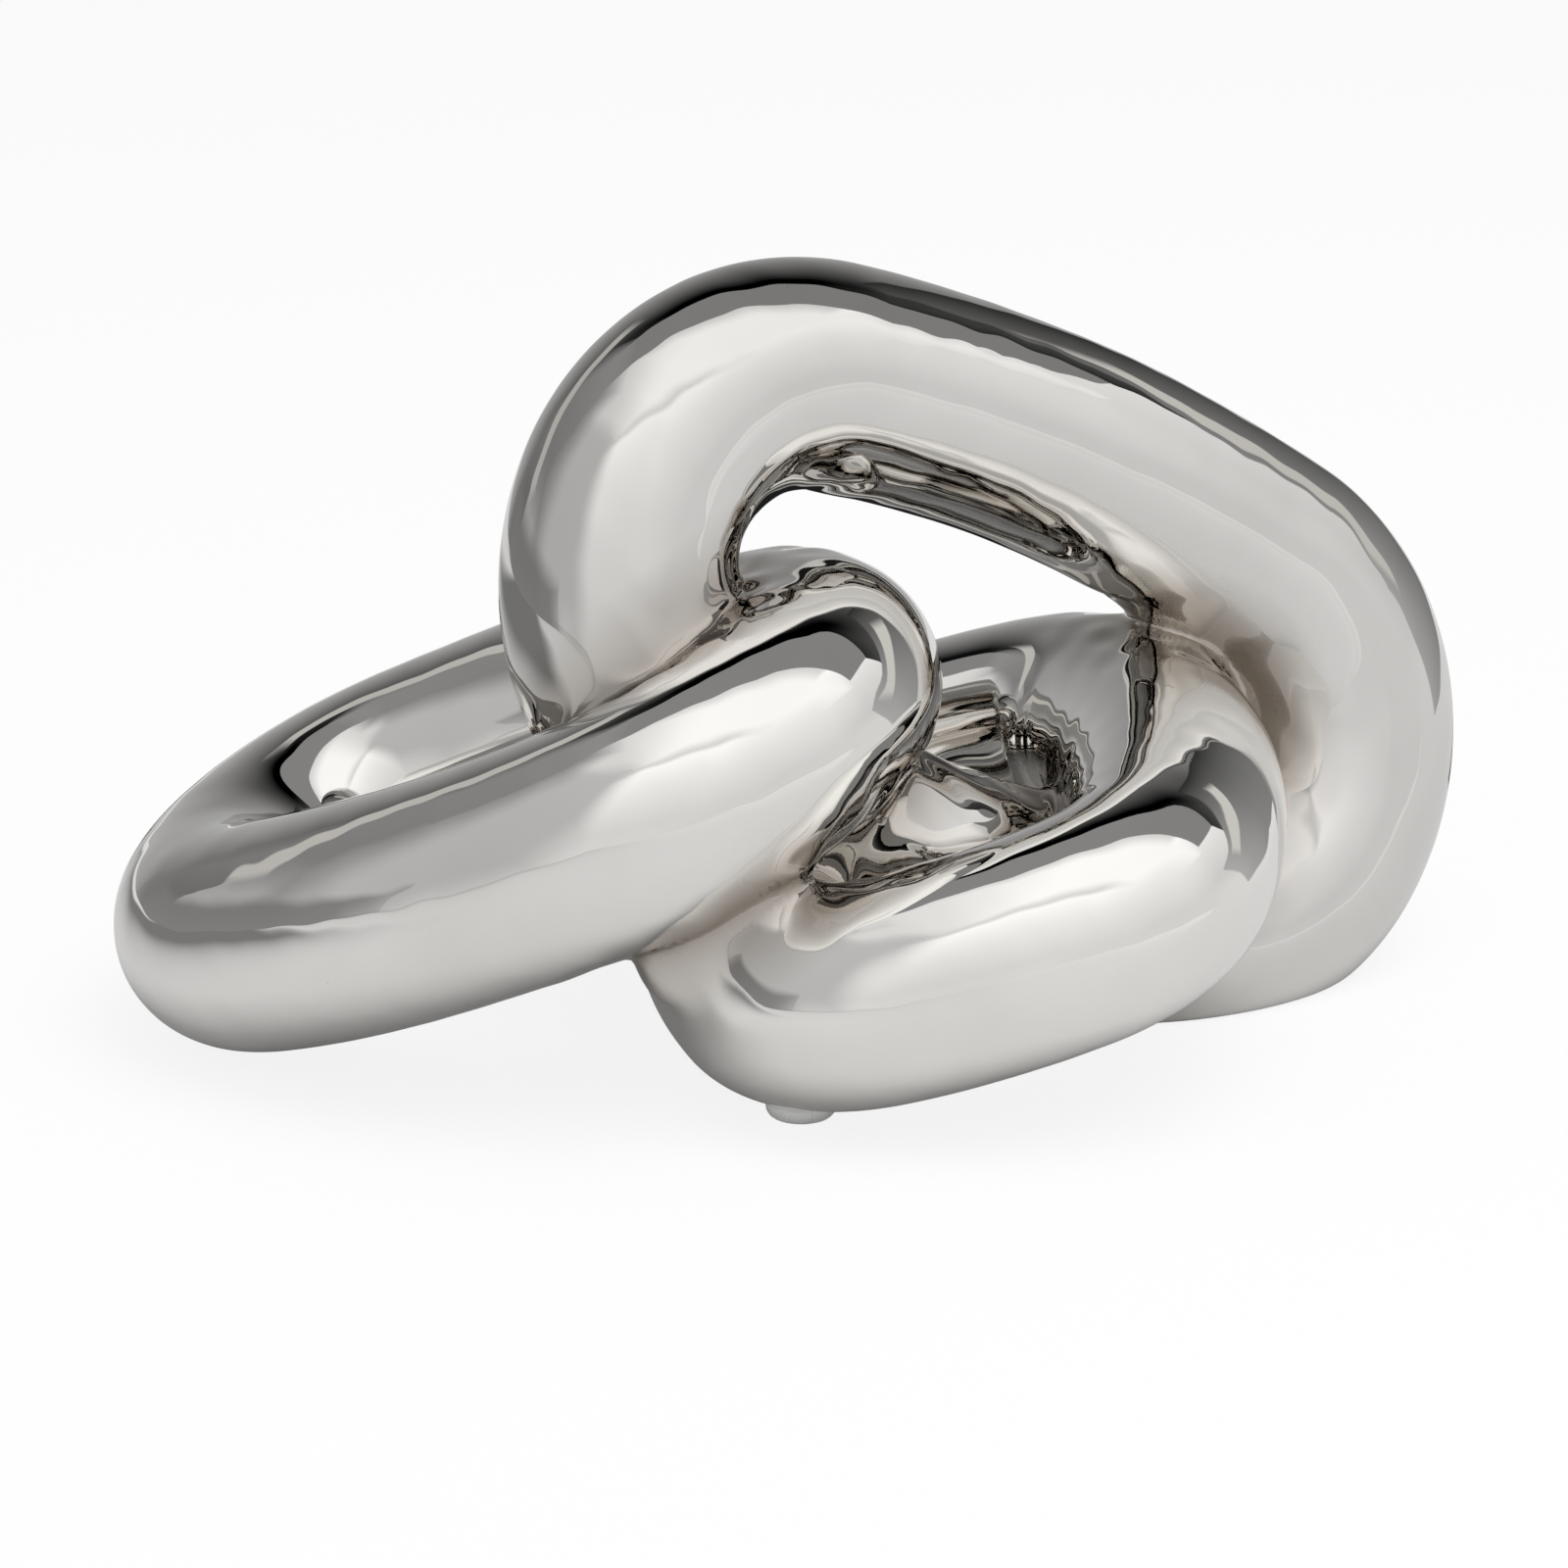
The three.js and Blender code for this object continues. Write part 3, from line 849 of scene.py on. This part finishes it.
# A card given by the bearings of its two ends, as azimuth and elevation in degrees, and by their
# distance in metres.
AimedCard = namedtuple("AimedCard", "name start end distance half_width foot top soft tint")
AIMED_CARDS = (
    AimedCard("right_slit", (100, 17), (140, 40), 0.8, 0.055, 0.85, 0.85, 0.3, CREAM),
    AimedCard("left_slit", (-105, 20), (-150, 45), 0.8, 0.055, 0.7, 0.7, 0.3, CREAM),
    AimedCard("right_flat", (115.5, 36.5), (142.5, -3.5), 0.9, 0.48, 0.6, 0.03, 0.04, WHITE),
)

# The wall behind has a light of its own: see wall_glow.
BACK_WALL = Card("back_wall", (0, 1.0, 0.94), RIGHT, UP, 2.2, 0.94)
WallLight = namedtuple("WallLight", "foot curve fade wing wing_top wing_start wing_end")
WALL_LIGHT = WallLight(foot=0.6, curve=1.5, fade=1.213, wing=0.2, wing_top=1.15,
                       wing_start=0.227, wing_end=0.636)


def staged(name, material):
    """A flat square stage object that reaches from -1 to 1."""
    sheet = bmesh.new()
    bmesh.ops.create_grid(sheet, x_segments=1, y_segments=1, size=1.0)
    mesh = bpy.data.meshes.new(name)
    sheet.to_mesh(mesh)
    sheet.free()
    mesh.materials.append(material)
    made = bpy.data.objects.new(name, mesh)
    bpy.context.scene.collection.objects.link(made)
    return made


def hang_card(card, material):
    """A card that shows only as a reflection."""
    sheet = staged(card.name, material)
    across, up = Vector(card.across).normalized(), Vector(card.up).normalized()
    turn = Matrix((across, up, across.cross(up))).transposed().to_4x4()
    size = Matrix.Diagonal((card.half_width, card.half_height, 1, 1))
    sheet.matrix_world = Matrix.Translation(card.centre) @ turn @ size
    sheet.visible_camera = False
    sheet.visible_diffuse = False
    sheet.visible_transmission = False
    sheet.visible_shadow = False


def aimed_card(aimed):
    """A card between two bearings, which faces the origin."""
    start, end = bearing(*aimed.start, aimed.distance), bearing(*aimed.end, aimed.distance)
    middle, along = (start + end) / 2, end - start
    up = along.cross(middle)
    if up.z < 0:
        up.negate()
    return Card(aimed.name, middle, along, up, along.length / 2, aimed.half_width,
                aimed.foot, aimed.top, aimed.soft, aimed.tint)


def bearing(azimuth, elevation, distance):
    """A point in a direction: azimuth 0 is the front, 90 the right, in degrees."""
    turn, rise = math.radians(azimuth), math.radians(elevation)
    flat = distance * math.cos(rise)
    return Vector((flat * math.sin(turn), -flat * math.cos(turn), distance * math.sin(rise)))


def light_world(stage):
    """White for the camera, also through the bumper, dimmer for reflections, and an even fill
    for all else."""
    world = bpy.data.worlds.new("studio")
    bpy.context.scene.world = world
    tree = ShaderTree(world)
    seen = tree.node("ShaderNodeLightPath", output="Is Camera Ray")
    through = tree.node("ShaderNodeLightPath", output="Is Transmission Ray")
    mirrored = tree.node("ShaderNodeLightPath", output="Is Glossy Ray")
    strength = (seen.or_more(through) * (1 - stage.fill)
                + mirrored * (stage.mirrored_level - stage.fill) + stage.fill)
    background = tree.node("ShaderNodeBackground", None,
                           {"Color": opaque(WHITE), "Strength": strength})
    tree.node("ShaderNodeOutputWorld", None, {"Surface": background})


def soft_lamp(stage):
    """One broad lamp, for a soft shadow. The cards stand for it in the silver."""
    lamp = bpy.data.lights.new("soft_lamp", "AREA")
    lamp.shape = "SQUARE"
    lamp.size = stage.lamp_size
    lamp.energy = stage.lamp_power
    holder = bpy.data.objects.new("soft_lamp", lamp)
    holder.location = stage.lamp_place
    holder.rotation_euler = (-holder.location).to_track_quat("-Z", "Y").to_euler()
    holder.visible_glossy = False
    bpy.context.scene.collection.objects.link(holder)


def place_camera(stage):
    """A camera in front that looks down at its target."""
    camera = bpy.data.cameras.new("camera")
    camera.lens = stage.lens
    camera.sensor_width = stage.sensor
    holder = bpy.data.objects.new("camera", camera)
    back = Vector((0, -math.cos(stage.elevation), math.sin(stage.elevation)))
    holder.location = Vector(stage.target) + back * stage.distance
    holder.rotation_euler = (-back).to_track_quat("-Z", "Y").to_euler()
    bpy.context.scene.collection.objects.link(holder)
    bpy.context.scene.camera = holder


# Operators

class CHAIN_OT_left_link(Operator):
    """Models the link that lies to the left"""
    bl_idname = "chain.left_link"
    bl_label = "Left Link"

    def execute(self, context):
        silver = silver_glaze("left_silver", context.scene.chain_left.painted_light_level)
        finished("silver_left_link", link_body("left_link"), silver, SILVER_SLOT, "left_link")
        return {"FINISHED"}


class CHAIN_OT_standing_link(Operator):
    """Models the standing link with its cut foot, and the piece that shuts its ring"""
    bl_idname = "chain.standing_link"
    bl_label = "Standing Link"

    def execute(self, context):
        sizes = context.scene.chain_standing
        body = link_body("standing_link")
        cut_foot(body, sizes.foot_edge)
        piece = part_closing_piece(body, Link(sizes), sizes)
        silver = silver_glaze("standing_silver", sizes.painted_light_level)
        finished("silver_standing_link", body, silver, SILVER_SLOT, "standing_link")
        finished("silver_closing_piece", piece, silver, SILVER_SLOT, "standing_link_closing_piece")
        return {"FINISHED"}


class CHAIN_OT_front_link(Operator):
    """Models the link that points to the front"""
    bl_idname = "chain.front_link"
    bl_label = "Front Link"

    def execute(self, context):
        silver = silver_glaze("front_silver", context.scene.chain_front.painted_light_level)
        finished("silver_front_link", link_body("front_link"), silver, SILVER_SLOT, "front_link")
        return {"FINISHED"}


class CHAIN_OT_bumper(Operator):
    """Models the clear bumper, its top pressed to the front link's underside"""
    bl_idname = "chain.bumper"
    bl_label = "Bumper"

    def execute(self, context):
        sizes = context.scene.chain_bumper
        link = Link(context.scene.chain_front)
        low_corner = link.over_low_corner(sizes.turn, 0, -link.tube)
        bumper = bumper_body(sizes, link, link.to_world(low_corner))
        finished("clear_front_bumper", bumper, milky_plastic(), BUMPER_SLOT, "front_bumper")
        return {"FINISHED"}


class CHAIN_OT_stage(Operator):
    """Sets up the floor, the light, the cards that the silver reflects, and the camera"""
    bl_idname = "chain.stage"
    bl_label = "Stage"

    def execute(self, context):
        stage = context.scene.chain_stage
        floor = staged("floor", pale_floor())
        floor.scale = (stage.floor_half, stage.floor_half, 1)
        hang_card(BACK_WALL, wall_glow(WALL_LIGHT))
        for card in (*CARDS, *map(aimed_card, AIMED_CARDS)):
            hang_card(card, card_glow(card))
        light_world(stage)
        soft_lamp(stage)
        place_camera(stage)
        context.scene.view_settings.view_transform = "Standard"
        return {"FINISHED"}


class CHAIN_PT_panel(Panel):
    """Lists the pieces and the stage"""
    bl_idname = "CHAIN_PT_panel"
    bl_label = "Silver Chain"
    bl_space_type = "VIEW_3D"
    bl_region_type = "UI"
    bl_category = "Chain"

    def draw(self, context):
        for operator in OPERATORS:
            self.layout.operator(operator.bl_idname)
        for name, group in SETTINGS.items():
            box = self.layout.box()
            box.label(text=group.__doc__)
            for setting in group.__annotations__:
                box.prop(getattr(context.scene, name), setting)


OPERATORS = (CHAIN_OT_left_link, CHAIN_OT_standing_link, CHAIN_OT_front_link, CHAIN_OT_bumper,
             CHAIN_OT_stage)


def register():
    for group in SETTINGS.values():
        bpy.utils.register_class(group)
    for name, group in SETTINGS.items():
        setattr(bpy.types.Scene, name, PointerProperty(type=group))
    for shown in (*OPERATORS, CHAIN_PT_panel):
        bpy.utils.register_class(shown)


def unregister():
    for shown in (CHAIN_PT_panel, *reversed(OPERATORS)):
        bpy.utils.unregister_class(shown)
    for name, group in SETTINGS.items():
        delattr(bpy.types.Scene, name)
        bpy.utils.unregister_class(group)


def main():
    register()
    bpy.ops.chain.stage()
    bpy.ops.chain.left_link()
    bpy.ops.chain.standing_link()
    bpy.ops.chain.front_link()
    bpy.ops.chain.bumper()


if __name__ == "__main__":
    main()
